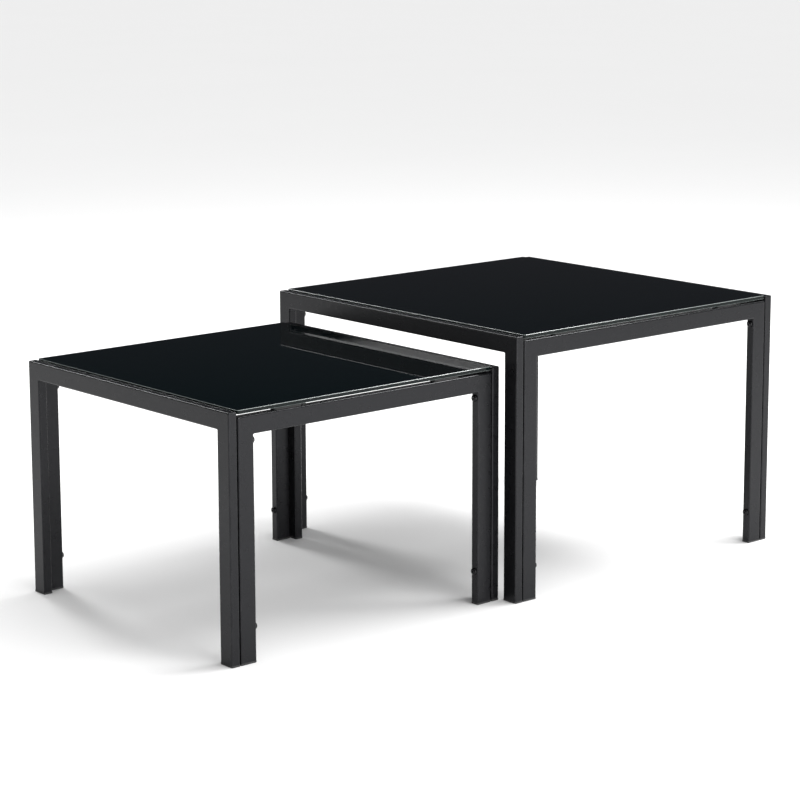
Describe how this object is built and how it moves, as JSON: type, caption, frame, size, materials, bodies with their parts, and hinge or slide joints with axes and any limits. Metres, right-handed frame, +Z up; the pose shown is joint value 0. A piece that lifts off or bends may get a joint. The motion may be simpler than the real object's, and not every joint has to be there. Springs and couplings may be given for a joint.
{
  "type": "nesting tables",
  "caption": "Pair of square black glass-topped tables on steel tube frames; the small table slides under the large one.",
  "frame": {"origin": "on the floor under the middle of both tables as they stand apart, small table pulled out", "axes": "+Z up; +Y from the small table towards the large one, the way the small table slides under; +X to the right seen from the small table's front"},
  "size_m": [0.6006, 1.1346, 0.4315],
  "materials": {
    "powder_coated_steel": "satin black powder coat",
    "black_glass": "gloss, painted black underneath, polished edges",
    "end_cap_plastic": "matte black",
    "pad_rubber": "matte black",
    "bolt_steel": "black zinc"
  },
  "bodies": {
    "large_table": {"large_front_frame": "powder_coated_steel", "large_front_frame_left_end_cap": "end_cap_plastic", "large_front_frame_right_end_cap": "end_cap_plastic", "large_rear_frame": "powder_coated_steel", "large_rear_frame_right_end_cap": "end_cap_plastic", "large_rear_frame_left_end_cap": "end_cap_plastic", "large_right_frame": "powder_coated_steel", "large_right_frame_front_end_cap": "end_cap_plastic", "large_right_frame_rear_end_cap": "end_cap_plastic", "large_left_frame": "powder_coated_steel", "large_left_frame_rear_end_cap": "end_cap_plastic", "large_left_frame_front_end_cap": "end_cap_plastic", "large_glass_top": "black_glass", "large_glass_pad_front_left": "pad_rubber", "large_lower_bolt_front_left": "bolt_steel", "large_upper_bolt_front_left": "bolt_steel", "large_glass_pad_front_right": "pad_rubber", "large_lower_bolt_front_right": "bolt_steel", "large_upper_bolt_front_right": "bolt_steel", "large_glass_pad_rear_left": "pad_rubber", "large_lower_bolt_rear_left": "bolt_steel", "large_upper_bolt_rear_left": "bolt_steel", "large_glass_pad_rear_right": "pad_rubber", "large_lower_bolt_rear_right": "bolt_steel", "large_upper_bolt_rear_right": "bolt_steel"},
    "small_table": {"small_front_frame": "powder_coated_steel", "small_front_frame_left_end_cap": "end_cap_plastic", "small_front_frame_right_end_cap": "end_cap_plastic", "small_rear_frame": "powder_coated_steel", "small_rear_frame_right_end_cap": "end_cap_plastic", "small_rear_frame_left_end_cap": "end_cap_plastic", "small_right_frame": "powder_coated_steel", "small_right_frame_front_end_cap": "end_cap_plastic", "small_right_frame_rear_end_cap": "end_cap_plastic", "small_left_frame": "powder_coated_steel", "small_left_frame_rear_end_cap": "end_cap_plastic", "small_left_frame_front_end_cap": "end_cap_plastic", "small_glass_top": "black_glass", "small_glass_pad_front_left": "pad_rubber", "small_lower_bolt_front_left": "bolt_steel", "small_upper_bolt_front_left": "bolt_steel", "small_glass_pad_front_right": "pad_rubber", "small_lower_bolt_front_right": "bolt_steel", "small_upper_bolt_front_right": "bolt_steel", "small_glass_pad_rear_left": "pad_rubber", "small_lower_bolt_rear_left": "bolt_steel", "small_upper_bolt_rear_left": "bolt_steel", "small_glass_pad_rear_right": "pad_rubber", "small_lower_bolt_rear_right": "bolt_steel", "small_upper_bolt_rear_right": "bolt_steel"}
  },
  "joints": [
    {"name": "small_table_slide", "type": "slide", "parent": "large_table", "child": "small_table", "axis": [0, 1, 0], "range_m": [0, 0.569]}
  ]
}
